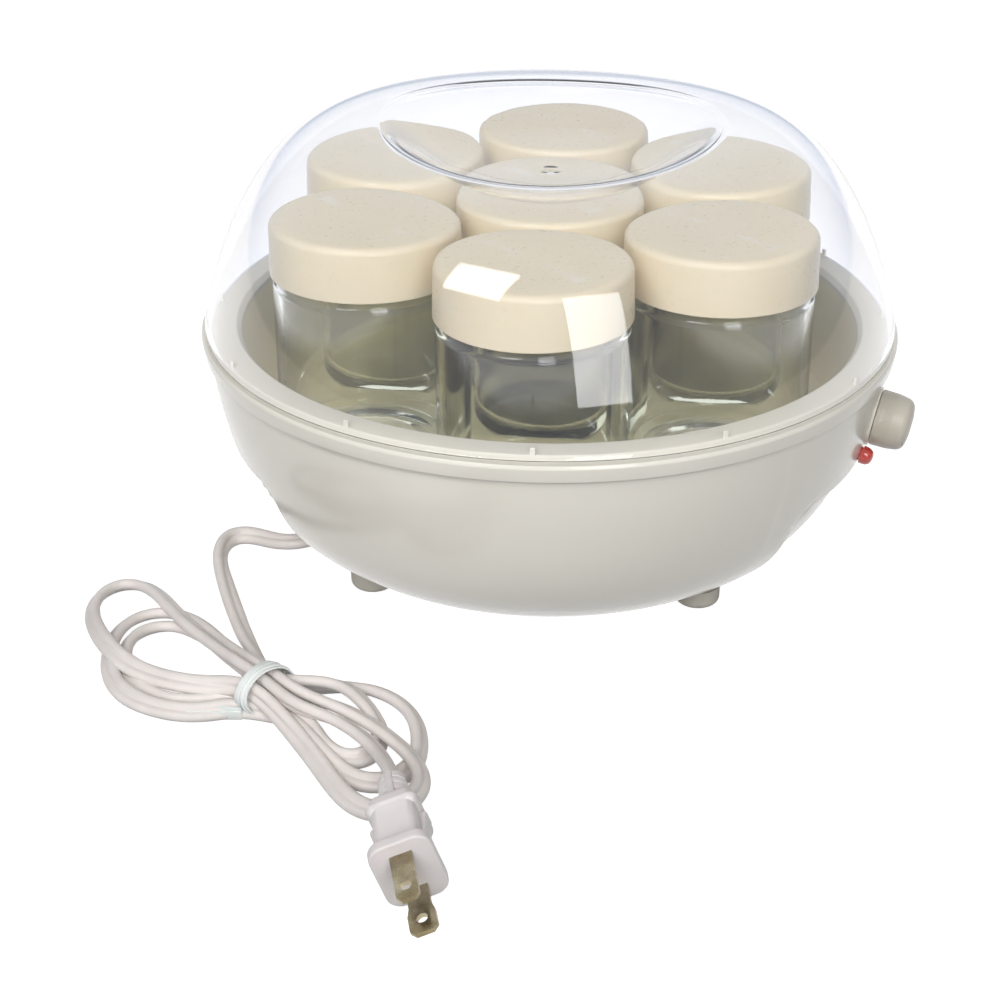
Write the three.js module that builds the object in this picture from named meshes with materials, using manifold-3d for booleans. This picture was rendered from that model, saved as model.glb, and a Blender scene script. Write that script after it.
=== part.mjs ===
// Yogurt maker: round heated base, seven glass jars with push-on caps, clear domed lid, mains lead.
// Millimetres, +Z up, the front faces -Y and the dial is on the +X side. z = 0 is the table.
import * as THREE from 'three';
import { mergeVertices } from 'three/addons/utils/BufferGeometryUtils.js';
import Module from 'manifold-3d';

const wasm = await Module();
wasm.setup();

// ---- driving dimensions ----
const AXIS_X = -3.1;            // bowl axis, so the base with its dial is centred on the origin
const GAP = 0.3;                // air left between neighbouring pieces
const SEG = 46;                 // facets round the large turned pieces
const SEG_JAR = 20;             // facets round a jar or cap
const RIM_R = 119.5;
const RIM_Z = 80;
const SHELL_WALL = 2.4;
const SHELL_OUTER = [
  [74, 5], [80, 6.7], [86, 9.3], [92, 13.4], [97.4, 18.2], [102, 23.8], [106.2, 31], [110.2, 41],
  [113.3, 52], [117, 73.2], [118.8, 74.4], [RIM_R, 78.8], [118.7, RIM_Z],
];
const GRIP = { depth: 3.6, half: 0.67, z0: 6, z1: 43 };   // finger holds on both sides
const COVER_R = 69.4;
const FOOT = { r: 7.6, at: 77.6, top: 14 };
const TRAY = { floor: 42, wall: 2, well: 105.4, flange: 115.4, top: 82.2 };
const POST = { r: 4, at: 56, hole: 1.5, z: 9.4, az: [60, 180, 300] };
const HUB = { r: 5.5, z: 27 };
const PITCH = 66.6;             // centre jar to each outer jar
const JAR = { r: 30.8, wall: 2.6, neck: 28.4, shoulder: 104.2, top: 122.4, base: TRAY.floor + GAP };
const CAP = { r: 31.7, wall: 1.7, bottom: 107.2, top: 125.4 };
const LID = { r: 118.2, foot: 80.4, spring: 82.5, crestR: 57.1, crestZ: 148.3, dishZ: 132.5, wall: 2.2 };
const DIAL = { az: -12, z: 57, at: 114.6, r: 9.6, out: 12.4, tilt: 10 };
const LAMP = { az: -17, z: 47.2, at: 112.1, r: 3.3, tilt: 15.7 };
const CORD_AZ = 203;            // where the lead leaves the base
const NOTCH = { at: 78, long: 34, wide: 15, top: 11.6 };
const HEATER = { r: 47, ring0: 33, ring1: 40 };

// ---- finishes ----
const finish = (hex, roughness, metalness = 0, opacity = 1) => new THREE.MeshStandardMaterial({
  color: hex, roughness, metalness, opacity, transparent: opacity < 1,
});
const CREAM = finish(0xe1ded5, 0.3);
const CAPS = finish(0xebe2d0, 0.35);
const KHAKI = finish(0xc4bda4, 0.4);
const GLASS = finish(0xb4b890, 0.06, 0, 0.4);
const CLEAR = finish(0xe6ecf2, 0.05, 0, 0.25);
const CORDS = finish(0xe4ded9, 0.45);
const RUBBER = finish(0xcfcac0, 0.8);
const RED = finish(0xc82f1e, 0.2);
const STEEL = finish(0xb4b4b0, 0.35, 0.9);
const BRASS = finish(0xa89468, 0.35, 0.9);
const ALU = finish(0xc9cbcc, 0.4, 0.9);
const NYLON = finish(0xdcdad2, 0.5);
const DARK = finish(0x4a4a48, 0.5);

// ---- helpers ----
/** Welds equal corners and points the faces out. */
function weld(geometry) {
  const g = geometry.index ? geometry.toNonIndexed() : geometry.clone();
  for (const key of ['normal', 'uv']) g.deleteAttribute(key);
  const merged = mergeVertices(g, 1e-4);
  const p = merged.attributes.position;
  const idx = [];
  let volume = 0;
  const [a, b, c] = [new THREE.Vector3(), new THREE.Vector3(), new THREE.Vector3()];
  for (let i = 0; i < merged.index.count; i += 3) {
    const t = [0, 1, 2].map((k) => merged.index.getX(i + k));
    if (t[0] === t[1] || t[1] === t[2] || t[0] === t[2]) continue;
    a.fromBufferAttribute(p, t[0]);
    b.fromBufferAttribute(p, t[1]);
    c.fromBufferAttribute(p, t[2]);
    volume += a.dot(b.cross(c)) / 6;
    idx.push(...t);
  }
  if (volume < 0) for (let i = 0; i < idx.length; i += 3) [idx[i], idx[i + 1]] = [idx[i + 1], idx[i]];
  merged.setIndex(idx);
  return merged;
}

const solid = (g) => {
  const w = weld(g);
  return new wasm.Manifold(new wasm.Mesh({
    numProp: 3, vertProperties: new Float32Array(w.attributes.position.array),
    triVerts: new Uint32Array(w.index.array),
  }));
};

const toGeometry = (m) => {
  const mesh = m.getMesh();
  const g = new THREE.BufferGeometry();
  g.setAttribute('position', new THREE.BufferAttribute(new Float32Array(mesh.vertProperties), 3));
  g.setIndex(new THREE.BufferAttribute(new Uint32Array(mesh.triVerts), 1));
  return g;
};

/** base plus every added solid, less every cut one. */
function shape(base, { add = [], cut = [] }) {
  let m = solid(base);
  for (const g of add) m = m.add(solid(g));
  for (const g of cut) m = m.subtract(solid(g));
  return toGeometry(m);
}

/** Turns a closed [r, z] profile about Z. */
const turn = (profile, segments = SEG) => {
  const points = profile.map(([r, z]) => new THREE.Vector2(r, z));
  const onAxis = profile[0][0] === 0 && profile[profile.length - 1][0] === 0;
  if (!onAxis) points.push(points[0].clone());
  return new THREE.LatheGeometry(points, segments).rotateX(Math.PI / 2);
};

const rod = (r, z0, z1, segments = 20) =>
  turn([[0, z0], [r, z0], [r, z1], [0, z1]], segments);
const ring = (r0, r1, z0, z1, segments = 32) =>
  turn([[r0, z0], [r1, z0], [r1, z1], [r0, z1]], segments);
const block = (x, y, z) => new THREE.BoxGeometry(x, y, z);
const rad = THREE.MathUtils.degToRad;

/** Lays a piece made along +Z square to the shell's side, at the place given. */
const outwards = (g, { az, at, z, tilt }) =>
  g.rotateY(Math.PI / 2 + rad(tilt)).translate(at, 0, z).rotateZ(rad(az));

/** A tube of eight sides along a smooth run of [x, y, z] points. */
function tube(points, radius, steps) {
  const path = new THREE.CatmullRomCurve3(points.map((p) => new THREE.Vector3(...p)));
  const section = new THREE.Shape();
  for (let i = 0; i < 8; i += 1) {
    const a = ((i + 0.5) / 8) * Math.PI * 2;
    section[i ? 'lineTo' : 'moveTo'](radius * Math.cos(a), radius * Math.sin(a));
  }
  return new THREE.ExtrudeGeometry(section, { extrudePath: path, steps, curveSegments: 1 });
}

/** Moves a polyline sideways by d, to its left as it runs. */
function offset(points, d) {
  return points.map(([r, z], i) => {
    const [r0, z0] = points[Math.max(i - 1, 0)];
    const [r1, z1] = points[Math.min(i + 1, points.length - 1)];
    const n = Math.hypot(r1 - r0, z1 - z0);
    return [Math.max(0, r - ((z1 - z0) / n) * d), z + ((r1 - r0) / n) * d];
  });
}

// ---- base ----
/** Presses the shallow finger holds into a turned shell. */
function pressGrips(geometry) {
  const p = geometry.attributes.position;
  const fade = (x) => { const t = Math.min(Math.max(x, 0), 1); return t * t * (3 - 2 * t); };
  for (let i = 0; i < p.count; i += 1) {
    const [x, y, z] = [p.getX(i), p.getY(i), p.getZ(i)];
    const r = Math.hypot(x, y);
    if (r < 70) continue;
    const a = Math.atan2(y, Math.abs(x));
    const side = fade((GRIP.half - Math.abs(a)) / 0.1);
    const height = fade((GRIP.z1 - z) / 5) * fade((z - GRIP.z0) / 4);
    const k = 1 - (GRIP.depth * side * height) / r;
    p.setXY(i, x * k, y * k);
  }
  return geometry;
}

/** The way out for the lead, across the shell's lower edge and the cover. */
const makeNotch = () => block(NOTCH.long, NOTCH.wide, 14).translate(NOTCH.at, 0, NOTCH.top - 7)
  .rotateZ(rad(CORD_AZ));

function makeShell() {
  const wall = [2, 4, 5, 7, 8, 9].map((i) => SHELL_OUTER[i]);
  const inner = offset(wall, SHELL_WALL).reverse();
  const profile = [
    [70, 5], ...SHELL_OUTER, [112.6, RIM_Z], [112.6, 77.6], [114.8, 76], ...inner, [60, 9.2], [60, 6.8],
    [70, 6.8],
  ];
  const cut = [
    outwards(rod(2.6, -9, 9, 14), DIAL), outwards(rod(2.7, -9, 9, 14), LAMP), makeNotch(),
  ];
  return shape(pressGrips(turn(profile)), { cut });
}

function makeCover() {
  const cut = [makeNotch()];
  for (const az of POST.az) cut.push(rod(1.7, 0, 12, 10).translate(POST.at, 0, 0).rotateZ(rad(az)));
  for (let i = -2; i <= 2; i += 1) cut.push(block(2.6, 30, 10).translate(i * 7, 22, 5));
  const plate = [[0, 4.2], [COVER_R, 4.2], [COVER_R, 6.4], [0, 6.4]];
  return shape(turn(plate), { cut });
}

/** A rubber foot whose top follows the underside of the shell. */
function makeFoot(az) {
  const button = turn([[0, 0], [6, 0], [FOOT.r, 2.2], [FOOT.r, FOOT.top], [0, FOOT.top]], 18);
  button.translate(FOOT.at, 0, 0).rotateZ(rad(az));
  const body = offset(SHELL_OUTER.slice(0, 6), -GAP - 0.1);
  const above = turn([[0, 40], [0, 4.5], [60, 4.5], ...body, [110, 40]]);
  return shape(button, { cut: [above] });
}

function makeTray() {
  const { floor, wall, well, flange, top } = TRAY;
  const profile = [
    [0, floor - wall], [97.4, floor - wall], [101.6, floor + 2.6], [107.6, 76], [108.4, RIM_Z + GAP],
    [flange, RIM_Z + GAP], [flange, top], [well + 1.8, top], [well, top - 2.2], [99.8, floor + 3.6],
    [96.8, floor], [0, floor],
  ];
  const add = [rod(HUB.r, HUB.z, floor - 1)];
  const cut = [rod(POST.hole, HUB.z - 1, floor - 4, 10)];
  for (const az of POST.az) {
    add.push(rod(POST.r, POST.z, floor - 1, 14).translate(POST.at, 0, 0).rotateZ(rad(az)));
    cut.push(rod(POST.hole, POST.z - 1, floor - 8, 10).translate(POST.at, 0, 0).rotateZ(rad(az)));
  }
  return shape(turn(profile), { add, cut });
}

/** A pan-head screw pointing up, its head's underside at z = seat. */
const makeScrew = (seat, length, r = 1.2) => turn([
  [0, seat - 1.8], [2.2, seat - 1.8], [2.9, seat - 1], [2.9, seat], [r, seat], [r, seat + length],
  [0, seat + length + 0.8],
], 12);

// ---- jars ----
function makeJar() {
  const { r, wall, neck, shoulder, top, base } = JAR;
  return turn([
    [0, base + 1], [22, base], [r - 2.4, base], [r, base + 3], [r, shoulder], [neck, shoulder + 2.6],
    [neck, top], [neck - 2.4, top], [neck - 2.6, shoulder + 1.4], [r - wall, shoulder - 2],
    [r - wall, base + 9], [r - 7, base + 5.4], [0, base + 4.6],
  ], SEG_JAR);
}

function makeCap() {
  const { r, wall, bottom, top } = CAP;
  return turn([
    [0, top], [r - 3, top], [r - 1.1, top - 0.7], [r - 0.2, top - 2.4], [r, bottom],
    [r - wall, bottom], [r - wall, top - 2.7], [0, top - 2.7],
  ], SEG_JAR);
}

// ---- lid ----
function makeLid() {
  const { r, foot, spring, crestR, crestZ, dishZ, wall } = LID;
  const outer = [[r, foot]];
  for (const t of [1, 0.985, 0.93, 0.84, 0.7, 0.52, 0.3, 0.04]) {
    const z = spring + (crestZ - spring) * (1 - t ** 2.96) ** (1 / 1.2254);
    outer.push([crestR + (r - crestR) * t, z]);
  }
  outer.push([crestR - 3, crestZ - 1.4], [crestR - 9, crestZ - 5.4], [39, 137.4], [24, 133.6], [0, dishZ]);
  const inner = offset(outer, wall).filter((_, i) => i % 2 === 0 || i > 8);
  inner[0] = [r - wall, foot];
  inner[inner.length - 1] = [0, dishZ - wall];
  return turn([...outer.reverse(), ...inner], SEG);
}

// ---- controls ----
const makeKnob = () => outwards(turn([
  [0, 0.4], [DIAL.r, 0.4], [DIAL.r, 4.4], [DIAL.r - 0.5, 8], [DIAL.r - 1.9, DIAL.out - 1.9],
  [DIAL.r - 4.6, DIAL.out - 0.3], [0, DIAL.out],
], 24), DIAL);
const makeSpindle = () => outwards(rod(2.3, -6.4, 0.1, 12), DIAL);
const makeDialClip = () => outwards(ring(2.6, 6, -4.6, -3.6, 16), DIAL);
const makeLens = () => outwards(turn([
  [0, -4.8], [2.4, -4.8], [2.4, 0.6], [LAMP.r, 0.6], [LAMP.r, 1.6], [2.8, 3.2], [1.6, 4.2], [0, 4.6],
], 16), LAMP);
const makeLampClip = () => outwards(ring(2.7, 4.8, -4.2, -3.2, 16), LAMP);

// ---- heater and wiring ----
const makePlate = () => ring(HUB.r + 0.6, HEATER.r, 37, TRAY.floor - TRAY.wall - GAP, 30);
const makeElement = () => ring(HEATER.ring0, HEATER.ring1, 31.4, 36.7, 30);
const makeBar = () => shape(block(14, 92, 1.8).translate(0, 0, 25.6), {
  add: [35, -35].map((y) => block(14, 6, 5.2).translate(0, y, 28.4)),
  cut: [rod(1.9, 20, 30, 10)],
});

// ---- mains lead ----
/** Eight-sided flat bar lofted between two [half width, half height] sections along +X. */
function taper(length, [w0, h0], [w1, h1]) {
  const g = block(length, 2, 2);
  const p = g.attributes.position;
  for (let i = 0; i < p.count; i += 1) {
    const end = p.getX(i) > 0;
    p.setXYZ(i, p.getX(i), p.getY(i) * (end ? w1 : w0), p.getZ(i) * (end ? h1 : h0));
  }
  return g;
}

const makeSleeve = () => taper(25, [6, 4.1], [4.6, 2.9]).rotateY(rad(5)).translate(77.2, 0, 6.2)
  .rotateZ(rad(CORD_AZ));
const makeClamp = () => block(10, 18, 8).translate(48, 0, 10.9).rotateZ(rad(CORD_AZ));

const LIVE_WIRE = [[-15.4, -8, 13], [-4, -14, 15], [10, -10, 18], [18, -4, 24], [21, -1, 27]];
const NEUTRAL_WIRE = [[-24, 12.6, 12], [-26, 18, 16], [-28, 22, 23], [-28, 22.4, 30]];
const LAMP_WIRE = [
  [-15, -2, 11], [10, -10, 11], [50, -19, 12], [84, -26.5, 22], [94, -28.7, 33], [100.6, -30.6, 44.6],
];
const LEAD = [
  [-83.3, -35.4, 4.9], [-88.5, -36.3, 4], [-94, -34, 3.2], [-100, -30, 2.9], [-106.5, -30, 2.9],
  [-111, -35.5, 2.9], [-110.3, -47, 2.9], [-105.1, -61.4, 2.9], [-98, -79.4, 2.9], [-92, -93, 2.9],
];
const HANK = [
  [-86.5, -98], [-94, -95.5], [-99, -101], [-111, -89.5], [-122, -75.5], [-134, -64.6], [-143, -67],
  [-147.5, -80], [-144.5, -99], [-135.5, -116.5], [-132.5, -127], [-124, -137.5], [-113.5, -144.5],
  [-103, -147.2], [-92, -145.5], [-82.8, -140.6], [-79.5, -143], [-69, -154], [-60.5, -165],
  [-51, -177.5], [-41.5, -187], [-32.5, -192.2], [-23.5, -191.5], [-19.6, -183], [-21.6, -173],
  [-21, -160], [-22.8, -145], [-29.5, -130.5], [-40, -121.6], [-51, -119], [-61, -118.4],
  [-65, -121], [-70.2, -128.6], [-74.4, -125.6], [-79, -116],
];
const PLUG_RUN = [
  [-71, -133], [-64.5, -142], [-56.5, -144.5], [-46.8, -148.6], [-37.4, -159], [-31, -172],
  [-27.6, -185], [-33.6, -187], [-37.4, -174.4], [-43.4, -163], [-50, -155.4], [-58, -151.4],
  [-68, -149.4], [-77, -141],
];
const PLUG = { x: -29.1, y: -190, z: 16.3, turn: -74.9, pitch: 5.6, roll: 19.6, face: 39.5 };

const makeHank = () => {
  const slab = (points, z0, z1) => new THREE.ExtrudeGeometry(
    new THREE.Shape(points.map(([x, y]) => new THREE.Vector2(x, y))),
    { depth: z1 - z0, bevelEnabled: false },
  ).translate(0, 0, z0);
  const left = HANK.filter(([x]) => x < -73);
  return shape(slab(HANK, 0.2, 6.8), { add: [slab(left, 5.6, 13.6), slab(PLUG_RUN, 5.6, 13.4)] });
};

/** Places a piece made along +X from the origin onto the plug's own axis. */
const onPlug = (g) => g.rotateX(rad(PLUG.roll)).rotateY(rad(PLUG.pitch)).rotateZ(rad(PLUG.turn))
  .translate(PLUG.x, PLUG.y, PLUG.z);

function bladeBlank(side, width, grow) {
  const g = block(23 + grow, width + 2 * grow, 1.5 + 2 * grow);
  return g.translate(PLUG.face + 23 / 2 - 5.5 - grow / 2, 0, side * 6.35);
}

const makePlugSleeve = () => onPlug(taper(13, [3.6, 3], [5.2, 4.6]).translate(7.5, 0, 0));

/** The thin plate at the plug's face, its corners cut off. */
function makeFacePlate() {
  const half = [[8.7, 6.6], [4.6, 11], [-4.6, 11], [-8.7, 6.6]];
  const outline = [...half, ...half.map(([y, z]) => [-y, -z])];
  const plate = new THREE.ExtrudeGeometry(
    new THREE.Shape(outline.map(([y, z]) => new THREE.Vector2(y, z))),
    { depth: 3.6, bevelEnabled: false },
  );
  return plate.rotateX(Math.PI / 2).rotateZ(Math.PI / 2).translate(PLUG.face - 3.6, 0, 0);
}

const makePlugBody = () => {
  const waist = block(22.2, 12.6, 16.6).translate(25.4, 0, 0);
  return onPlug(shape(waist, {
    add: [
      taper(6, [5.4, 5.6], [7.6, 8.8]).translate(17.3, 0, 0),
      makeFacePlate(),
      block(10, 16.6, 5.4).translate(25.6, 0, 0),
    ],
    cut: [bladeBlank(1, 6.4, GAP), bladeBlank(-1, 7.9, GAP)],
  }));
};

const makeBlade = (side, width) => {
  const hole = rod(1.55, -12, 12, 12).translate(PLUG.face + 11.9, 0, 0);
  return onPlug(shape(bladeBlank(side, width, 0), { cut: [hole] }));
};

const makeTie = () => {
  const inside = block(6, 18.2, 16).translate(0, 0, 6);
  const band = shape(block(3.4, 20.4, 15).translate(0, 0, 7.7), { cut: [inside] });
  return band.rotateZ(rad(-34.5)).translate(-76.9, -134.4, 0);
};

// ---- assembly ----
const model = new THREE.Group();
const body = new THREE.Group();
body.position.x = AXIS_X;
model.add(body);

const put = (name, geometry, material, x = 0, y = 0) => {
  const mesh = new THREE.Mesh(weld(geometry), material);
  mesh.name = name;
  mesh.position.set(x, y, 0);
  body.add(mesh);
};

put('outer_shell', makeShell(), CREAM);
put('bottom_cover', makeCover(), CREAM);
put('inner_tray', makeTray(), KHAKI);
put('lid', makeLid(), CLEAR);

[[0, 0], ...[270, 330, 30, 90, 150, 210].map((a) => [
  PITCH * Math.cos(rad(a)), PITCH * Math.sin(rad(a)),
])].forEach(([x, y], i) => {
  put(`jar_${i + 1}`, makeJar(), GLASS, x, y);
  put(`jar_cap_${i + 1}`, makeCap(), CAPS, x, y);
});

[45, 135, 225, 315].forEach((az, i) => put(`foot_${i + 1}`, makeFoot(az), RUBBER));
POST.az.forEach((az, i) => {
  const [x, y] = [POST.at * Math.cos(rad(az)), POST.at * Math.sin(rad(az))];
  put(`base_screw_${i + 1}`, makeScrew(3.9, 20), STEEL, x, y);
});

put('dial_knob', makeKnob(), CREAM);
put('dial_spindle', makeSpindle(), STEEL);
put('dial_clip', makeDialClip(), STEEL);
put('lamp_lens', makeLens(), RED);
put('lamp_clip', makeLampClip(), STEEL);

put('heater_plate', makePlate(), ALU);
put('heating_element', makeElement(), STEEL);
put('element_bar', makeBar(), STEEL);
put('bar_screw', makeScrew(24.4, 10), STEEL);
put('thermostat', ring(0, 7.5, 28, 36.6, 20), DARK, 22, 0);
put('thermal_fuse', new THREE.CapsuleGeometry(2.2, 9, 2, 8).translate(-22, 0, 34), STEEL);
put('terminal_block', block(16, 30, 9).translate(-24, -4, 11.2), NYLON);
put('live_wire', tube(LIVE_WIRE, 0.9, 8), DARK);
put('neutral_wire', tube(NEUTRAL_WIRE, 0.9, 7), CORDS);
put('lamp_wire', tube(LAMP_WIRE, 0.9, 10), CORDS);

put('cord_clamp', makeClamp(), NYLON);
put('cord_sleeve', makeSleeve(), CORDS);
put('cord_lead', tube(LEAD, 2.6, 26), CORDS);
put('cord_hank', makeHank(), CORDS);
put('cord_tie', makeTie(), CORDS);
put('plug_sleeve', makePlugSleeve(), CORDS);
put('plug_body', makePlugBody(), CORDS);
put('plug_blade_1', makeBlade(1, 6.4), BRASS);
put('plug_blade_2', makeBlade(-1, 7.9), BRASS);

export default model;
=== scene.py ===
"""Looks of the yogurt maker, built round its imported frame. Metres, +Z up, the front faces -Y."""

import logging
import math
from collections.abc import Callable, Sequence
from dataclasses import dataclass, field
from enum import Enum

import bmesh
import bpy
from mathutils import Matrix, Vector


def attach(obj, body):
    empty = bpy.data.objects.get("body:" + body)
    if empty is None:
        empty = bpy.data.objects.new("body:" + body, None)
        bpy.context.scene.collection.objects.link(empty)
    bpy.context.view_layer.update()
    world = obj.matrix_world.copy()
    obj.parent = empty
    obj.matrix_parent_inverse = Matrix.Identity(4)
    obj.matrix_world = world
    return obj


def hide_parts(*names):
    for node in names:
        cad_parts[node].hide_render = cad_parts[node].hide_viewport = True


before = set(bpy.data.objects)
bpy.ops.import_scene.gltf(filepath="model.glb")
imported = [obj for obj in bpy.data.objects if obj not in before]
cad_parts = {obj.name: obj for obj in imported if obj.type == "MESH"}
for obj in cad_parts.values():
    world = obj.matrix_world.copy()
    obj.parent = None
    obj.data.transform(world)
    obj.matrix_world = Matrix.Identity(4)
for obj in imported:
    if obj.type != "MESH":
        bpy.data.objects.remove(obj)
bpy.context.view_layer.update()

LOG = logging.getLogger("yogurt_maker")
MM = 0.001
AXIS_X = -3.1
"""Where the bowl's axis stands along X, in millimetres."""
DIAL_SEAT = (-12.0, 114.6, 57.0, 10.0)
"""Where the dial sits on the shell: azimuth, distance from the axis, height and tilt."""
LAMP_SEAT = (-17.0, 112.1, 47.2, 15.7)
"""Where the pilot lamp sits on the shell, in the same terms."""
EXIT_AZIMUTH = 203.0
"""Where the mains lead leaves the base."""
UP = Vector((0.0, 0.0, 1.0))

Profile = list[tuple[float, float]]
Point = tuple[float, float, float]
Rgb = tuple[int, int, int]


# ---------------------------------------------------------------- outlines
def fillet(corners: Sequence[tuple[float, ...]], steps: int = 5) -> Profile:
    """Rounds the corners of an outline.

    Args:
        corners: (r, z) or (r, z, radius) in millimetres, in order.
        steps: how many straight runs make each rounded corner.

    Returns:
        The outline's points, with an arc at each corner that has a radius.
    """
    points: Profile = []
    for i, corner in enumerate(corners):
        here = Vector(corner[:2])
        if len(corner) < 3 or i in (0, len(corners) - 1):
            points.append((here.x, here.y))
            continue
        back = Vector(corners[i - 1][:2]) - here
        on = Vector(corners[i + 1][:2]) - here
        half = back.angle(on) / 2
        reach = min(corner[2] / math.tan(half), back.length * 0.49, on.length * 0.49)
        radius = reach * math.tan(half)
        middle = here + (back.normalized() + on.normalized()).normalized() * radius / math.sin(half)
        first = here + back.normalized() * reach - middle
        last = here + on.normalized() * reach - middle
        turn = first.angle_signed(last)
        for k in range(steps + 1):
            spoke = Matrix.Rotation(-turn * k / steps, 2) @ first
            points.append((middle.x + spoke.x, middle.y + spoke.y))
    return points


def flowing(points: Sequence[Sequence[float]], per: int) -> list[Vector]:
    """Runs a smooth line through points.

    Args:
        points: the points, of two or three numbers each.
        per: how many runs lie between two of them.

    Returns:
        The line's points, with the first and last as given.
    """
    p = [Vector(q) for q in points]
    line = []
    for i in range(len(p) - 1):
        a, b, c, d = p[max(i - 1, 0)], p[i], p[i + 1], p[min(i + 2, len(p) - 1)]
        for k in range(per):
            t = k / per
            line.append(
                0.5 * (2 * b + (c - a) * t + (2 * a - 5 * b + 4 * c - d) * t * t
                       + (3 * b - a - 3 * c + d) * t ** 3)
            )
    return [*line, p[-1]]


def aside(points: Profile, distance: float) -> Profile:
    """Moves an outline sideways, to its left as it runs, and keeps it off the far side of the axis."""
    moved = []
    for i, (r, z) in enumerate(points):
        r0, z0 = points[max(i - 1, 0)]
        r1, z1 = points[min(i + 1, len(points) - 1)]
        n = math.hypot(r1 - r0, z1 - z0)
        moved.append((max(0.0, r - (z1 - z0) / n * distance), z + (r1 - r0) / n * distance))
    return moved


def fade(x: float) -> float:
    """Goes smoothly from 0 to 1 as x does."""
    t = min(max(x, 0.0), 1.0)
    return t * t * (3 - 2 * t)


# ---------------------------------------------------------------- solids
def revolve(outline: Profile, steps: int) -> bmesh.types.BMesh:
    """Turns a closed outline about Z.

    Args:
        outline: (r, z) points in millimetres. It closes on the axis where it starts and ends there.
        steps: facets round the piece.

    Returns:
        A closed mesh in millimetres.
    """
    bm = bmesh.new()
    verts = [bm.verts.new((r, 0.0, z)) for r, z in outline]
    for a, b in zip(verts, verts[1:]):
        bm.edges.new((a, b))
    if outline[0][0] > 1e-6 or outline[-1][0] > 1e-6:
        bm.edges.new((verts[-1], verts[0]))
    bmesh.ops.spin(
        bm, geom=bm.verts[:] + bm.edges[:], cent=(0, 0, 0), axis=(0, 0, 1), dvec=(0, 0, 0),
        angle=2 * math.pi, steps=steps, use_merge=True, use_duplicate=False,
    )
    bmesh.ops.remove_doubles(bm, verts=bm.verts[:], dist=1e-4)
    bmesh.ops.recalc_face_normals(bm, faces=bm.faces[:])
    return bm


def rod(radius: float, low: float, high: float) -> bmesh.types.BMesh:
    """A plain round rod along Z between two heights."""
    return revolve([(0, low), (radius, low), (radius, high), (0, high)], 32)


def soften(bm: bmesh.types.BMesh, edges: Sequence[bmesh.types.BMEdge], radius: float,
           segments: int) -> None:
    """Rounds those edges of a mesh."""
    bmesh.ops.bevel(bm, geom=edges, offset=radius, offset_type="OFFSET", affect="EDGES",
                    segments=segments, profile=0.5, material=-1, clamp_overlap=True)


def rounded_block(size: Point, radius: float, segments: int = 4) -> bmesh.types.BMesh:
    """A block of that size with all its edges rounded, about the origin."""
    bm = bmesh.new()
    bmesh.ops.create_cube(bm, size=1.0)
    bmesh.ops.scale(bm, vec=size, verts=bm.verts[:])
    soften(bm, bm.edges[:], radius, segments)
    return bm


def plate_of(outline: Sequence[tuple[float, float]], thickness: float) -> bmesh.types.BMesh:
    """A flat plate with that outline in XY, of that thickness, middle on z = 0."""
    bm = bmesh.new()
    face = bm.faces.new([bm.verts.new((x, y, -thickness / 2)) for x, y in outline])
    grown = bmesh.ops.extrude_face_region(bm, geom=[face])
    top = [g for g in grown["geom"] if isinstance(g, bmesh.types.BMVert)]
    bmesh.ops.translate(bm, vec=(0, 0, thickness), verts=top)
    bmesh.ops.recalc_face_normals(bm, faces=bm.faces[:])
    return bm


def place(bm: bmesh.types.BMesh, *moves: Matrix) -> bmesh.types.BMesh:
    """Puts a mesh through the moves in turn and returns it."""
    for move in moves:
        bm.transform(move)
    return bm


def turned(degrees: float, axis: str) -> Matrix:
    """A turn about X, Y or Z."""
    return Matrix.Rotation(math.radians(degrees), 4, axis)


def shifted(x: float, y: float, z: float) -> Matrix:
    """A move by millimetres."""
    return Matrix.Translation((x, y, z))


def stretched(x: float, y: float, z: float) -> Matrix:
    """A scaling along the three axes."""
    return Matrix.Diagonal((x, y, z, 1.0))


def outwards(azimuth: float, at: float, z: float, tilt: float) -> Matrix:
    """Lays a piece made along +Z square to the shell's side."""
    return turned(azimuth, "Z") @ shifted(at, 0, z) @ turned(90 + tilt, "Y")


def finished(name: str, bm: bmesh.types.BMesh, at: tuple[float, float] = (0.0, 0.0),
             sharp: float = 35.0) -> bpy.types.Object:
    """Makes an object of a mesh in millimetres, with its place in its mesh.

    Args:
        name: the piece's name.
        bm: the mesh, in millimetres round the bowl's axis. It is freed.
        at: how far the piece stands from that axis, in millimetres.
        sharp: edges over this angle stay crisp, in degrees.

    Returns:
        The object, at the origin.
    """
    place(bm, shifted(AXIS_X + at[0], at[1], 0), Matrix.Scale(MM, 4))
    for face in bm.faces:
        face.smooth = True
    mesh = bpy.data.meshes.new(name)
    bm.to_mesh(mesh)
    bm.free()
    mesh.set_sharp_from_angle(angle=math.radians(sharp))
    obj = bpy.data.objects.new(name, mesh)
    bpy.context.scene.collection.objects.link(obj)
    return obj


class Join(Enum):
    """How one solid acts on another."""

    ADD = "UNION"
    CUT = "DIFFERENCE"


def combine(obj: bpy.types.Object, tools: Sequence[bpy.types.Object], how: Join) -> None:
    """Adds or cuts other objects and removes them.

    Args:
        obj: the object that is changed. Its modifiers are applied.
        tools: the objects added to it or cut from it.
        how: whether they are added or cut.
    """
    for tool in tools:
        step = obj.modifiers.new(how.name.lower(), "BOOLEAN")
        step.operation, step.solver, step.object = how.value, "EXACT", tool
    graph = bpy.context.evaluated_depsgraph_get()
    mesh = bpy.data.meshes.new_from_object(obj.evaluated_get(graph))
    obj.modifiers.clear()
    old, obj.data = obj.data, mesh
    mesh.name = obj.name
    bpy.data.meshes.remove(old)
    for tool in tools:
        bpy.data.objects.remove(tool)
    mesh.shade_smooth()
    mesh.set_sharp_from_angle(angle=math.radians(35))


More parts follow.
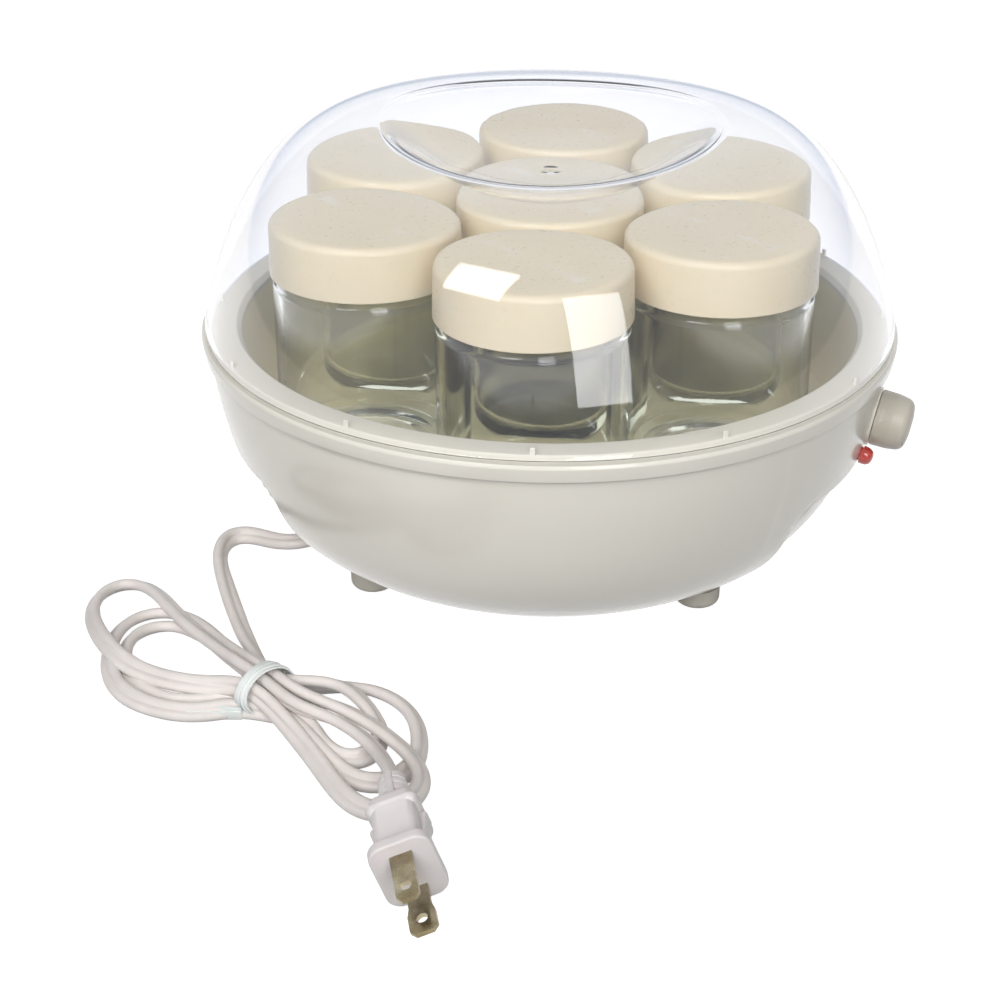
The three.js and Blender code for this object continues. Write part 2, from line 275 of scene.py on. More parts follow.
# ---------------------------------------------------------------- node tools
def linear(colour: Rgb) -> tuple[float, float, float, float]:
    """A display colour of 0 to 255 as the linear colour that shaders take."""
    channels = [c / 255 for c in colour]
    r, g, b = (c / 12.92 if c <= 0.04045 else ((c + 0.055) / 1.055) ** 2.4 for c in channels)
    return (r, g, b, 1.0)


@dataclass
class Graph:
    """Adds nodes to a tree and joins them."""

    tree: bpy.types.NodeTree

    def add(self, kind: str, **settings: object) -> bpy.types.Node:
        """Adds a node of that kind.

        Args:
            kind: the node's type name.
            settings: properties of the node, or values of its inputs by name with _ for a space.

        Returns:
            The new node.
        """
        node = self.tree.nodes.new(kind)
        for key, value in settings.items():
            if hasattr(node, key):
                setattr(node, key, value)
            else:
                node.inputs[key.replace("_", " ")].default_value = value
        return node

    def join(self, source: bpy.types.NodeSocket, target: bpy.types.NodeSocket) -> None:
        """Joins an output to an input."""
        self.tree.links.new(source, target)

    def ramp(self, source: bpy.types.NodeSocket, low: float, high: float,
             to_low: float = 0.0, to_high: float = 1.0) -> bpy.types.NodeSocket:
        """Maps a value's range onto another and returns the output."""
        node = self.add("ShaderNodeMapRange", From_Min=low, From_Max=high, To_Min=to_low,
                        To_Max=to_high)
        self.join(source, node.inputs["Value"])
        return node.outputs["Result"]

    def math(self, kind: str, a: bpy.types.NodeSocket, b: bpy.types.NodeSocket | float) \
            -> bpy.types.NodeSocket:
        """Does a sum on two values and returns the output."""
        node = self.add("ShaderNodeMath", operation=kind)
        self.join(a, node.inputs[0])
        if isinstance(b, float):
            node.inputs[1].default_value = b
        else:
            self.join(b, node.inputs[1])
        return node.outputs[0]

    def surface(self, mask: bpy.types.NodeSocket, one: bpy.types.Node, two: bpy.types.Node) -> None:
        """Makes a mix of two shaders, the second where the mask is 1, the material's surface."""
        mix = self.add("ShaderNodeMixShader")
        self.join(mask, mix.inputs[0])
        self.join(one.outputs[0], mix.inputs[1])
        self.join(two.outputs[0], mix.inputs[2])
        self.join(mix.outputs[0], self.add("ShaderNodeOutputMaterial").inputs["Surface"])

    def blend(self, mask: bpy.types.NodeSocket, a: object, b: object) -> bpy.types.NodeSocket:
        """Mixes two colours, each a socket or a value, by a mask and returns the output."""
        node = self.add("ShaderNodeMix", data_type="RGBA")
        self.join(mask, node.inputs[0])
        for socket, value in ((node.inputs[6], a), (node.inputs[7], b)):
            if isinstance(value, bpy.types.NodeSocket):
                self.join(value, socket)
            else:
                socket.default_value = value
        return node.outputs[2]


def _noise(g: Graph, scale: bpy.types.NodeSocket, detail: float, rough: float) -> bpy.types.NodeSocket:
    """A noise on the piece's own coordinates, with its scale from a socket."""
    where = g.add("ShaderNodeTexCoord")
    noise = g.add("ShaderNodeTexNoise", Detail=detail, Roughness=rough)
    g.join(where.outputs["Object"], noise.inputs["Vector"])
    g.join(scale, noise.inputs["Scale"])
    return noise.outputs["Fac"]


def _fill_mottle(g: Graph, start: bpy.types.Node, end: bpy.types.Node) -> None:
    """Broad and fine clouds, for tone and for roughness."""
    broad = _noise(g, start.outputs["Scale"], 3.0, 0.5)
    fine_scale = g.math("MULTIPLY", start.outputs["Scale"], 9.0)
    fine = _noise(g, fine_scale, 5.0, 0.6)
    g.join(g.ramp(broad, 0.3, 0.7), end.inputs["Tone"])
    g.join(g.ramp(fine, 0.25, 0.75), end.inputs["Fine"])


def _fill_grain(g: Graph, start: bpy.types.Node, end: bpy.types.Node) -> None:
    """The skin of a moulding: fine sparks with a long soft ripple under them."""
    spark = _noise(g, start.outputs["Scale"], 6.0, 0.65)
    ripple = _noise(g, g.math("MULTIPLY", start.outputs["Scale"], 0.03), 1.0, 0.4)
    soft = g.math("MULTIPLY", ripple, start.outputs["Ripple"])
    g.join(g.math("ADD", spark, soft), end.inputs["Height"])


def _fill_wear(g: Graph, start: bpy.types.Node, end: bpy.types.Node) -> None:
    """Where edges are rubbed, broken up by noise."""
    geometry = g.add("ShaderNodeNewGeometry")
    edge = g.ramp(geometry.outputs["Pointiness"], 0.51, 0.58)
    patch = g.ramp(_noise(g, start.outputs["Scale"], 4.0, 0.6), 0.4, 0.62)
    worn = g.math("MULTIPLY", edge, patch)
    g.join(g.math("MULTIPLY", worn, start.outputs["Amount"]), end.inputs["Mask"])


def _fill_dust(g: Graph, start: bpy.types.Node, end: bpy.types.Node) -> None:
    """Fine dust on what faces up."""
    geometry = g.add("ShaderNodeNewGeometry")
    parts = g.add("ShaderNodeSeparateXYZ")
    g.join(geometry.outputs["Normal"], parts.inputs[0])
    up = g.ramp(parts.outputs["Z"], 0.5, 1.0)
    speck = g.ramp(_noise(g, start.outputs["Scale"], 8.0, 0.7), 0.5, 0.75)
    lying = g.math("MULTIPLY", up, speck)
    g.join(g.math("MULTIPLY", lying, start.outputs["Amount"]), end.inputs["Mask"])


@dataclass(frozen=True)
class SharedGroup:
    """A node group that every finish shares."""

    inputs: dict[str, float]
    outputs: Sequence[str]
    fill: Callable[[Graph, bpy.types.Node, bpy.types.Node], None]


GROUPS = {
    "Mottle": SharedGroup({"Scale": 20.0}, ("Tone", "Fine"), _fill_mottle),
    "MouldGrain": SharedGroup({"Scale": 1500.0, "Ripple": 2.0}, ("Height",), _fill_grain),
    "EdgeWear": SharedGroup({"Scale": 90.0, "Amount": 0.5}, ("Mask",), _fill_wear),
    "SettledDust": SharedGroup({"Scale": 400.0, "Amount": 0.1}, ("Mask",), _fill_dust),
}
"""Clouds of tone, a moulding's skin, rubbed edges and settled dust."""


def use_group(g: Graph, name: str, **values: float) -> bpy.types.Node:
    """Adds one of the shared groups, which is made the first time it is asked for.

    Args:
        g: the graph that it is added to.
        name: the group's name.
        values: its inputs that differ from their usual values.

    Returns:
        The group's node.
    """
    tree = bpy.data.node_groups.get(name)
    if tree is None:
        spec = GROUPS[name]
        tree = bpy.data.node_groups.new(name, "ShaderNodeTree")
        for key, value in spec.inputs.items():
            socket = tree.interface.new_socket(key, in_out="INPUT", socket_type="NodeSocketFloat")
            socket.default_value = value
        for key in spec.outputs:
            tree.interface.new_socket(key, in_out="OUTPUT", socket_type="NodeSocketFloat")
        inner = Graph(tree)
        spec.fill(inner, inner.add("NodeGroupInput"), inner.add("NodeGroupOutput"))
    return g.add("ShaderNodeGroup", node_tree=tree, **values)


# ---------------------------------------------------------------- finishes
@dataclass(frozen=True)
class Finish:
    """A moulded finish: two tones in clouds, a fine skin, rubbed edges and a little dust."""

    name: str
    colour: Rgb
    shade: Rgb
    roughness: float = 0.35
    spread: float = 0.06
    cloud: float = 18.0
    grain: float = 1500.0
    ripple: float = 2.0
    relief: float = 0.00003
    worn: Rgb = (250, 248, 243)
    wear: float = 0.35
    dust: float = 0.02
    metallic: float = 0.0
    coat: float = 0.0
    ior: float = 1.46
    subsurface: float = 0.0

    def material(self) -> bpy.types.Material:
        """The finish's material, made the first time it is asked for."""
        found = bpy.data.materials.get(self.name)
        if found is not None:
            return found
        made = bpy.data.materials.new(self.name)
        made.use_nodes = True
        made.node_tree.nodes.clear()
        g = Graph(made.node_tree)
        shader = g.add("ShaderNodeBsdfPrincipled", Metallic=self.metallic, IOR=self.ior)
        shader.inputs["Coat Weight"].default_value = self.coat
        shader.inputs["Coat Roughness"].default_value = 0.08
        if self.subsurface:
            shader.inputs["Subsurface Weight"].default_value = self.subsurface
            shader.inputs["Subsurface Scale"].default_value = 0.002
        g.join(self.tone(g), shader.inputs["Base Color"])
        g.join(self.gloss(g), shader.inputs["Roughness"])
        g.join(self.skin(g), shader.inputs["Normal"])
        self.close(g, shader)
        return made

    def tone(self, g: Graph) -> bpy.types.NodeSocket:
        """The colour over the surface."""
        mottle = use_group(g, "Mottle", Scale=self.cloud)
        wear = use_group(g, "EdgeWear", Amount=self.wear)
        dust = use_group(g, "SettledDust", Amount=self.dust)
        body = g.blend(mottle.outputs["Tone"], linear(self.colour), linear(self.shade))
        rubbed = g.blend(wear.outputs["Mask"], body, linear(self.worn))
        return g.blend(dust.outputs["Mask"], rubbed, linear((196, 192, 184)))

    def gloss(self, g: Graph) -> bpy.types.NodeSocket:
        """The roughness over the surface."""
        mottle = use_group(g, "Mottle", Scale=self.cloud * 2.5)
        low, high = max(0.0, self.roughness - self.spread), self.roughness + self.spread
        return g.ramp(mottle.outputs["Fine"], 0.0, 1.0, low, high)

    def skin(self, g: Graph) -> bpy.types.NodeSocket:
        """The bump of the surface."""
        grain = use_group(g, "MouldGrain", Scale=self.grain, Ripple=self.ripple)
        bump = g.add("ShaderNodeBump", Strength=0.35, Distance=self.relief)
        g.join(grain.outputs["Height"], bump.inputs["Height"])
        return bump.outputs["Normal"]

    def close(self, g: Graph, shader: bpy.types.Node) -> None:
        """Joins the shader to the material's output."""
        g.join(shader.outputs[0], g.add("ShaderNodeOutputMaterial").inputs["Surface"])


@dataclass(frozen=True)
class ClearFinish(Finish):
    """A clear finish, which lets lamps through to what is behind it."""

    passes: Rgb = (253, 254, 255)

    def close(self, g: Graph, shader: bpy.types.Node) -> None:
        """Makes the shader clear and lets light reach and leave what is behind it straight."""
        shader.inputs["Transmission Weight"].default_value = 1.0
        through = g.add("ShaderNodeBsdfTransparent", Color=linear(self.passes))
        path = g.add("ShaderNodeLightPath")
        late = g.math("GREATER_THAN", path.outputs["Ray Depth"], 7.5)
        soft = g.math("MAXIMUM", path.outputs["Is Diffuse Ray"], late)
        g.surface(g.math("MAXIMUM", path.outputs["Is Shadow Ray"], soft), shader, through)


@dataclass(frozen=True)
class BrushedFinish(Finish):
    """A metal with fine drawn lines along one axis."""

    lines: Point = (40.0, 900.0, 900.0)

    def skin(self, g: Graph) -> bpy.types.NodeSocket:
        """The drawn lines."""
        where = g.add("ShaderNodeTexCoord")
        mapping = g.add("ShaderNodeMapping", Scale=self.lines)
        noise = g.add("ShaderNodeTexNoise", Scale=1.0, Detail=4.0, Roughness=0.6)
        bump = g.add("ShaderNodeBump", Strength=0.3, Distance=self.relief)
        g.join(where.outputs["Object"], mapping.inputs["Vector"])
        g.join(mapping.outputs["Vector"], noise.inputs["Vector"])
        g.join(noise.outputs["Fac"], bump.inputs["Height"])
        return bump.outputs["Normal"]


@dataclass(frozen=True)
class TrayFinish(Finish):
    """The tray's finish: a brighter beige in the well, painted light that makes up for how little light
    reaches the well, turning to the shell's cream on the flange.
    """

    flange: Rgb = (230, 224, 208)
    edge: float = 0.0795

    def tone(self, g: Graph) -> bpy.types.NodeSocket:
        """The colour by height, over the usual clouds: the well below the flange takes the brighter
        beige, which is painted light.
        """
        where, parts = g.add("ShaderNodeTexCoord"), g.add("ShaderNodeSeparateXYZ")
        g.join(where.outputs["Object"], parts.inputs[0])
        # Painted light: below the flange edge the well takes the brighter beige, standing in for light
        # that hardly reaches it.
        above = g.ramp(parts.outputs["Z"], self.edge - 0.0015, self.edge + 0.0005)
        return g.blend(above, super().tone(g), linear(self.flange))


SHELL_CREAM = Finish("shell_cream_gloss", (226, 222, 212), (222, 218, 207), 0.24, 0.03, grain=900.0,
                     relief=0.000012, dust=0.0, coat=0.3)
# The tray's well colour is raised brighter than the flange as painted light, since little light reaches
# the well.
TRAY_BEIGE = TrayFinish("tray_beige_satin", (244, 233, 196), (240, 227, 188), 0.4, 0.06, coat=0.1)
CAP_CREAM = Finish("cap_cream_satin", (236, 222, 192), (232, 217, 185), 0.3, 0.05, cloud=30.0, dust=0.0,
                   coat=0.15, subsurface=0.06)
KNOB_CREAM = Finish("knob_cream_satin", (196, 190, 177), (190, 184, 170), 0.34, 0.05, cloud=60.0)
LID_CLEAR = ClearFinish("lid_clear_polished", (253, 253, 255), (250, 251, 255), 0.015, 0.012,
                        grain=300.0, relief=0.000004, wear=0.0, dust=0.0, ior=1.49)
JAR_GLASS = ClearFinish("jar_glass_pressed", (253, 254, 250), (250, 252, 245), 0.02, 0.015,
                        grain=160.0, relief=0.00003, wear=0.0, dust=0.0, ior=1.5,
                        passes=(255, 255, 252))
LENS_RED = Finish("lamp_lens_red", (206, 44, 24), (176, 26, 12), 0.12, 0.03, cloud=300.0,
                  grain=500.0, worn=(240, 120, 90), coat=0.8)
FOOT_RUBBER = Finish("foot_soft_rubber", (196, 191, 180), (182, 177, 166), 0.68, 0.1, cloud=120.0,
                     grain=2500.0, relief=0.00008, worn=(214, 210, 200), dust=0.2)
FLEX_WHITE = Finish("flex_white_vinyl", (226, 219, 215), (216, 209, 205), 0.42, 0.08, cloud=60.0,
                    grain=1800.0, relief=0.00005, dust=0.1, subsurface=0.05)
PLUG_WHITE = Finish("plug_white_vinyl", (218, 212, 211), (212, 206, 206), 0.4, 0.07, cloud=110.0,
                    grain=2200.0, relief=0.00005, subsurface=0.05)
TIE_WHITE = Finish("tie_white_film", (232, 236, 234), (222, 228, 226), 0.3, 0.06, cloud=200.0,
                   coat=0.3)
CLAMP_NYLON = Finish("clamp_nylon", (222, 220, 211), (212, 209, 199), 0.5, 0.08, cloud=80.0)
BAKELITE = Finish("thermostat_dark", (72, 71, 69), (58, 57, 55), 0.5, 0.1, cloud=140.0,
                  worn=(120, 118, 114))
STEEL = BrushedFinish("steel_plated", (190, 190, 186), (168, 168, 164), 0.34, 0.1, cloud=90.0,
                      metallic=1.0, worn=(220, 220, 216), wear=0.6, relief=0.00004)
ALUMINIUM = BrushedFinish("aluminium_rolled", (204, 206, 207), (190, 192, 194), 0.4, 0.1,
                          cloud=50.0, metallic=1.0, worn=(228, 230, 231), wear=0.6, relief=0.00005)
BLADE_NICKEL = BrushedFinish("blade_dull_nickel", (150, 139, 112), (118, 106, 80), 0.3, 0.1,
                             cloud=160.0, metallic=1.0, worn=(206, 198, 174), wear=0.8,
                             relief=0.00003, lines=(60.0, 1200.0, 1200.0))


def dress(obj: bpy.types.Object, finish: Finish, slot: str, body: str,
          *nodes: str) -> bpy.types.Object:
    """Gives a piece its finish and its body.

    Args:
        obj: the piece, in place.
        finish: its finish.
        slot: the record's material slot; it is not used.
        body: the body that it moves with.
        nodes: the frame's nodes that it stands for.

    Returns:
        The piece.
    """
    obj.data.materials.clear()
    obj.data.materials.append(finish.material())
    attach(obj, body)
    if nodes:
        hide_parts(*nodes)
    LOG.info("%s: %d faces, %s", obj.name, len(obj.data.polygons), finish.name)
    return obj


# ---------------------------------------------------------------- camera and light
@dataclass
class Studio:
    """The camera, the floor and the lights."""

    eye: Point = (48.877, -703.64, 372.378)
    forward: Point = (-0.08693, 0.90816, -0.4095)
    roll: float = -0.103
    lens: float = 79.32
    shift: tuple[float, float] = (-0.0047, -0.1231)
    floor_half: float = 9.0

    def build(self) -> None:
        """Makes all of it."""
        self.camera()
        self.floor()
        self.lights()
        self.surround()

    def camera(self) -> None:
        """Stands the camera before the object, a little to the right and above."""
        data = bpy.data.cameras.new("camera")
        data.lens, data.sensor_width = self.lens, 36.0
        data.shift_x, data.shift_y = self.shift
        data.clip_start, data.clip_end = 0.05, 50.0
        cam = bpy.data.objects.new("camera", data)
        ahead = Vector(self.forward).normalized()
        side = ahead.cross(UP).normalized()
        over = side.cross(ahead)
        lean = math.radians(self.roll)
        right = math.cos(lean) * side - math.sin(lean) * over
        top = math.sin(lean) * side + math.cos(lean) * over
        turn = Matrix((right, top, -ahead)).transposed().to_4x4()
        cam.matrix_world = Matrix.Translation(Vector(self.eye) * MM) @ turn
        bpy.context.scene.collection.objects.link(cam)
        bpy.context.scene.camera = cam

    def floor(self) -> None:
        """Lays a plain pale floor."""
        bm = bmesh.new()
        bmesh.ops.create_grid(bm, x_segments=1, y_segments=1, size=self.floor_half)
        mesh = bpy.data.meshes.new("floor")
        bm.to_mesh(mesh)
        bm.free()
        obj = bpy.data.objects.new("floor", mesh)
        obj.location.z = -0.0002
        bpy.context.scene.collection.objects.link(obj)
        made = bpy.data.materials.new("floor_white")
        made.use_nodes = True
        made.node_tree.nodes.clear()
        g = Graph(made.node_tree)
        seen = g.add("ShaderNodeBsdfPrincipled", Roughness=0.9)
        seen.inputs["Base Color"].default_value = (0.45, 0.45, 0.45, 1.0)
        seen.inputs["Specular IOR Level"].default_value = 0.0
        seen.inputs["Emission Color"].default_value = (1.0, 1.0, 1.0, 1.0)
        seen.inputs["Emission Strength"].default_value = 0.9
        bounced = g.add("ShaderNodeBsdfDiffuse", Color=(0.08, 0.08, 0.08, 1.0))
        path = g.add("ShaderNodeLightPath")
        g.surface(path.outputs["Is Diffuse Ray"], seen, bounced)
        mesh.materials.append(made)

    def lights(self) -> None:
        """Hangs the two soft boxes, and the broad lights in front and behind."""
        boxes = (
            ("window_left", (-0.463, -0.877, 1.331), (-0.012, -0.095, 0.133), (0.5, 0.46), 5.0),
            ("panel_right", (0.55, -1.41, 0.872), (0.02, -0.103, 0.121), (0.52, 1.15), 10.0),
            ("front", (-0.45, -2.05, 1.25), (0.0, 0.0, 0.06), (1.8, 1.0), 28.0),
            ("rear", (0.3, 2.3, 0.9), (0.0, 0.0, 0.06), (1.8, 1.0), 13.0),
        )
        for name, at, aim, size, power in boxes:
            data = bpy.data.lights.new(name, "AREA")
            data.shape, data.size, data.size_y, data.energy = "RECTANGLE", *size, power
            obj = bpy.data.objects.new(name, data)
            obj.visible_glossy = obj.visible_transmission = name not in ("front", "rear")
            away = Vector(at) - Vector(aim)
            obj.matrix_world = Matrix.Translation(Vector(at)) @ away.to_track_quat("Z", "Y") \
                .to_matrix().to_4x4()
            bpy.context.scene.collection.objects.link(obj)

    def surround(self) -> None:
        """Sets the room: what shines shows it bright, and it lights the object less from overhead."""
        world = bpy.data.worlds.new("studio")
        world.use_nodes = True
        world.node_tree.nodes.clear()
        g = Graph(world.node_tree)
        where = g.add("ShaderNodeTexCoord")
        parts = g.add("ShaderNodeSeparateXYZ")
        g.join(where.outputs["Generated"], parts.inputs[0])
        height = g.ramp(parts.outputs["Z"], -0.1, 0.7)
        lit = g.blend(height, (0.36, 0.36, 0.38, 1.0), (0.1, 0.1, 0.1, 1.0))
        band = g.ramp(parts.outputs["Z"], 0.02, 0.3)
        shown = g.blend(band, (0.6, 0.66, 0.77, 1.0), (0.98, 0.99, 1.0, 1.0))
        path = g.add("ShaderNodeLightPath")
        shine = g.add("ShaderNodeBackground", Strength=1.0)
        g.join(g.blend(path.outputs["Is Diffuse Ray"], shown, lit), shine.inputs["Color"])
        g.join(shine.outputs[0], g.add("ShaderNodeOutputWorld").inputs["Surface"])
        bpy.context.scene.world = world
        bpy.context.scene.view_settings.view_transform = "Standard"


# ---------------------------------------------------------------- mains lead
@dataclass
class MainsLead:
    """The flat two-core lead with its tie, plug and the sleeve where it leaves the base."""

    width: float = 6.4
    thick: float = 3.5
    plug_at: Point = (-29.1, -190.0, 16.3)
    plug_turn: float = -74.9
    plug_dip: float = 5.6
    plug_roll: float = 19.6
    plug_face: float = 39.5
    blade_off: float = 6.35
    """How far each blade stands from the plug's axis."""
    blade_hole: float = 11.9
    """How far the hole in a blade stands out from the plate."""
    waist: tuple[float, float] = (-76.9, -134.4)
    waist_turn: float = -34.5
    smoothing: int = 18
    route: list[tuple[float, float, float, float]] = field(default_factory=lambda: [
        (-80.5, -34.2, 3.4, 10), (-84.5, -35.8, 2.9, 15), (-90, -35.2, 2, 20),
        (-96, -32, 0.9, 28), (-102, -28.8, 0.3, 35), (-107.5, -29.6, 0.2, 50),
        (-110.8, -35.6, 0.1, 68), (-110, -47, 0.1, 60), (-105, -61, 0.1, 30),
        (-98, -79, 0.1, 20), (-91, -96, 0.1, 30), (-85, -108, 0.1, 50), (-79, -119, 0.1, 75),
        (-73, -126, 0.2, 80), (-64, -127, 0.6, 60), (-53, -123.5, 0.3, 35), (-42, -125, 0.1, 30),
        (-32, -134, 0.1, 40), (-27, -146, 0.1, 50), (-25, -161, 0.1, 50), (-29, -170, 0.1, 45),
        (-34, -174, 0.1, 35), (-41, -174, 0.1, 30), (-48, -169, 0.1, 35), (-56, -159, 0.1, 50),
        (-63, -149, 0.1, 65), (-78, -136, 0.1, 86), (-88, -136, 0.1, 60), (-96, -138, 0.1, 40),
        (-106, -138, 0.1, 30), (-115, -133, 0.1, 35), (-123, -124, 0.1, 45),
        (-127, -112, 0.1, 55), (-127, -101, 0.1, 50), (-122, -94, 0.1, 35), (-114, -92, 0.1, 30),
        (-105, -98, 0.1, 40), (-94, -109, 0.4, 60), (-85, -121, 1.6, 80), (-77, -129.5, 3.6, 80),
        (-68, -131, 4.8, 60), (-60, -128.5, 4.6, 40), (-52, -130, 4.2, 32), (-46, -136, 3.4, 35),
        (-40, -144, 1.5, 45), (-37.5, -153, 0.4, 50), (-40, -161, 0.2, 45), (-46, -164, 0.2, 40),
        (-53, -160, 0.2, 40), (-58, -152, 0.2, 50), (-63, -144, 0.3, 70), (-80, -140, 0.1, 86),
        (-87, -140, 0.2, 60), (-94, -143, 0.3, 45), (-103, -143, 0.2, 35), (-113, -140, 0.2, 35),
        (-122, -134, 0.2, 40), (-129, -123, 0.2, 50), (-132, -110, 0.2, 50),
        (-132.5, -97, 0.2, 45), (-127.5, -87, 0.2, 35), (-119, -84, 0.3, 30),
        (-109.5, -89, 1, 35), (-101, -98, 1.5, 45), (-91, -111, 2.2, 60), (-74, -131, 6.6, 86),
        (-67, -138, 6.4, 70), (-58.5, -141, 5.6, 45), (-49.5, -143.5, 4.6, 30),
        (-40, -150, 3.7, 30), (-30.5, -160, 3.7, 35), (-23.5, -171, 4, 40), (-21.5, -181, 4, 45),
        (-25.5, -189, 3.4, 45), (-33, -191, 1.6, 40), (-41.5, -185.5, 0.4, 35),
        (-49, -175, 0.2, 35), (-57, -162, 0.2, 45), (-65, -151, 0.6, 60), (-79, -138, 6.6, 86),
        (-89, -134, 4.2, 60), (-100, -133, 3.9, 35), (-110, -130, 3.7, 30),
        (-121, -125, 3.7, 35), (-131, -114, 3.7, 45), (-140, -99, 2, 55), (-145, -84, 0.6, 55),
        (-143, -71, 0.3, 45), (-134.5, -66, 0.3, 35), (-124, -75.5, 2.2, 30), (-114, -92, 4, 30),
        (-103, -105, 4.4, 40), (-92, -118, 5, 60), (-77, -134, 6.6, 86), (-66, -146, 6.4, 70),
        (-57, -148, 5.6, 45), (-48, -152, 4.8, 35), (-39.5, -161, 4.8, 35), (-34, -172, 6.6, 42),
        (-31.2, -181, 9.8, 52), (-29.4, -188, 12.4, 62), (-28.6, -191.6, 13.1, 66),
    ])
    """Where the lead runs: x, y, the height of its underside, and how far it leans on edge."""

    def build(self) -> None:
        path, leans = self.centreline()
        lead = self.flex(path, leans)
        tie, sleeve = self.tie(), self.plug_sleeve()
        plug = self.plug()
        pins = [self.blade(1, 1, 6.4, 6.4), self.blade(2, -1, 6.4, 7.9)]
        self.exit_sleeve()

    def centreline(self) -> tuple[list[Vector], list[float]]:
        """The route as a smooth close line.

        Returns:
            The centre's points in metres, and how far the section leans at each, in radians.
        """
        apart = (self.width - self.thick) / 2
        knots = []
        for x, y, under, lean in self.route:
            a = math.radians(lean)
            knots.append((x, y, under + self.thick / 2 + apart * math.sin(a), a))
        line = flowing(knots, 6)
        for _ in range(self.smoothing):
            inside = [(a + 2 * b + c) / 4 for a, b, c in zip(line, line[1:], line[2:])]
            line = [line[0], *inside, line[-1]]
        path = [Vector((p[0] + AXIS_X, p[1], p[2])) * MM for p in line]
        return path, [p[3] for p in line]

    def flex(self, path: list[Vector], leans: list[float]) -> bpy.types.Object:
        """Sweeps the two-core section along the route.

        Args:
            path: the centreline in metres.
            leans: how far the section leans on edge at each point, in radians.

        Returns:
            The lead as a closed mesh.
        """
        core = self.thick * MM / 2
        apart = self.width * MM / 2 - core
        reach = math.radians(140)
        section = []
        for side in (1, -1):
            for k in range(11):
                a = reach * (1 - k / 5)
                section.append((side * core * math.sin(a), side * (apart + core * math.cos(a))))
        bm = bmesh.new()
        rings = []
        for i, (here, lean) in enumerate(zip(path, leans)):
            ahead = (path[min(i + 1, len(path) - 1)] - path[max(i - 1, 0)]).normalized()
            flat = ahead.cross(UP).normalized()
            rise = flat.cross(ahead)
            wide = flat * math.cos(lean) + rise * math.sin(lean)
            thin = wide.cross(ahead)
            rings.append([bm.verts.new(here + thin * x + wide * y) for x, y in section])
        n = len(section)
        for one, two in zip(rings, rings[1:]):
            for k in range(n):
                bm.faces.new((one[k], one[(k + 1) % n], two[(k + 1) % n], two[k]))
        bm.faces.new(rings[0])
        bm.faces.new(reversed(rings[-1]))
        bmesh.ops.recalc_face_normals(bm, faces=bm.faces[:])
        place(bm, Matrix.Scale(1 / MM, 4), shifted(-AXIS_X, 0, 0))
        obj = finished("mains_lead", bm, sharp=80.0)
        return dress(obj, FLEX_WHITE, "cord_white", "base", "cord_lead", "cord_hank")

    def on_plug(self, bm: bmesh.types.BMesh) -> bmesh.types.BMesh:
        """Moves what is made along +X onto the plug's axis."""
        return place(bm, turned(self.plug_roll, "X"), turned(self.plug_dip, "Y"),
                     turned(self.plug_turn, "Z"), shifted(*self.plug_at))

    def ribbed(self, length: float, thin: float, thick: float, ribs: int) -> bmesh.types.BMesh:
        """A tapered strain relief along +X with grooves round it.

        Args:
            length: its length.
            thin: its radius at the start.
            thick: its radius at the end.
            ribs: how many grooves it has.

        Returns:
            The relief, round.
        """
        outline: Profile = [(0.0, 0.0), (thin - 0.5, 0.0), (thin, 0.5)]
        pitch = length * 0.82 / ribs
        for k in range(ribs):
            z = 1.4 + k * pitch
            r = thin + (thick - thin) * z / length
            outline += [(r, z), (r, z + pitch * 0.55), (r - 0.25, z + pitch * 0.6),
                        (r - 1.0, z + pitch * 0.64), (r - 1.0, z + pitch * 0.86),
                        (r - 0.1, z + pitch * 0.9)]
        outline += [(thick, length * 0.9), (thick, length), (0.0, length)]
        return place(revolve(outline, 40), turned(90, "Y"))

    def plug_sleeve(self) -> bpy.types.Object:
        """The ribbed relief behind the plug, with a plain spine along its top and bottom."""
        bm = place(self.ribbed(13.6, 3.8, 5.3, 4), stretched(1, 1, 0.86), shifted(0.8, 0, 0))
        obj = finished("plug_relief", self.on_plug(bm))
        spines = []
        for side in (1, -1):
            spine = place(rounded_block((12.4, 2.2, 2.4), 0.5), turned(-5.5 * side, "Y"),
                          shifted(7.6, 0, 2.95 * side))
            spines.append(finished("spine", self.on_plug(spine)))
        combine(obj, spines, Join.ADD)
        return dress(obj, PLUG_WHITE, "cord_white", "base", "plug_sleeve")

    def plug(self) -> bpy.types.Object:
        """The moulded plug: waist, collar, side wings and the rounded face plate."""
        waist = rounded_block((23.4, 12.6, 16.6), 2.4)
        collar = rounded_block((7.4, 15.2, 17.8), 2.6)
        for v in collar.verts:
            if v.co.x < 0:
                v.co.y *= 0.74
                v.co.z *= 0.68
        plate = place(self.face_plate(), shifted(self.plug_face - 1.8, 0, 0))
        ear = rounded_block((11.0, 16.8, 5.6), 1.2)
        for v in ear.verts:
            if v.co.x > 0:
                v.co.y *= 0.84
        parts = []
        for bm, x in ((waist, 26.0), (collar, 18.0), (plate, 0.0), (ear, 26.4)):
            parts.append(finished("plug_moulding", self.on_plug(place(bm, shifted(x, 0, 0)))))
        combine(parts[0], parts[1:], Join.ADD)
        return dress(parts[0], PLUG_WHITE, "cord_white", "base", "plug_body")

    def face_plate(self) -> bmesh.types.BMesh:
        """The thin plate at the plug's face, with broad rounded corners."""
        w, h, corner = 8.9, 11.1, 4.6
        outline = fillet([(w, -0.4), (w, h, corner), (-w, h, corner), (-w, -h, corner),
                          (w, -h, corner), (w, -1.2)], 8)
        bm = plate_of(outline, 3.6)
        rims = [e for e in bm.edges if abs(e.verts[0].co.z - e.verts[1].co.z) < 1e-6]
        soften(bm, rims, 0.6, 4)
        bmesh.ops.recalc_face_normals(bm, faces=bm.faces[:])
        return place(bm, turned(90, "Y"), turned(90, "X"))

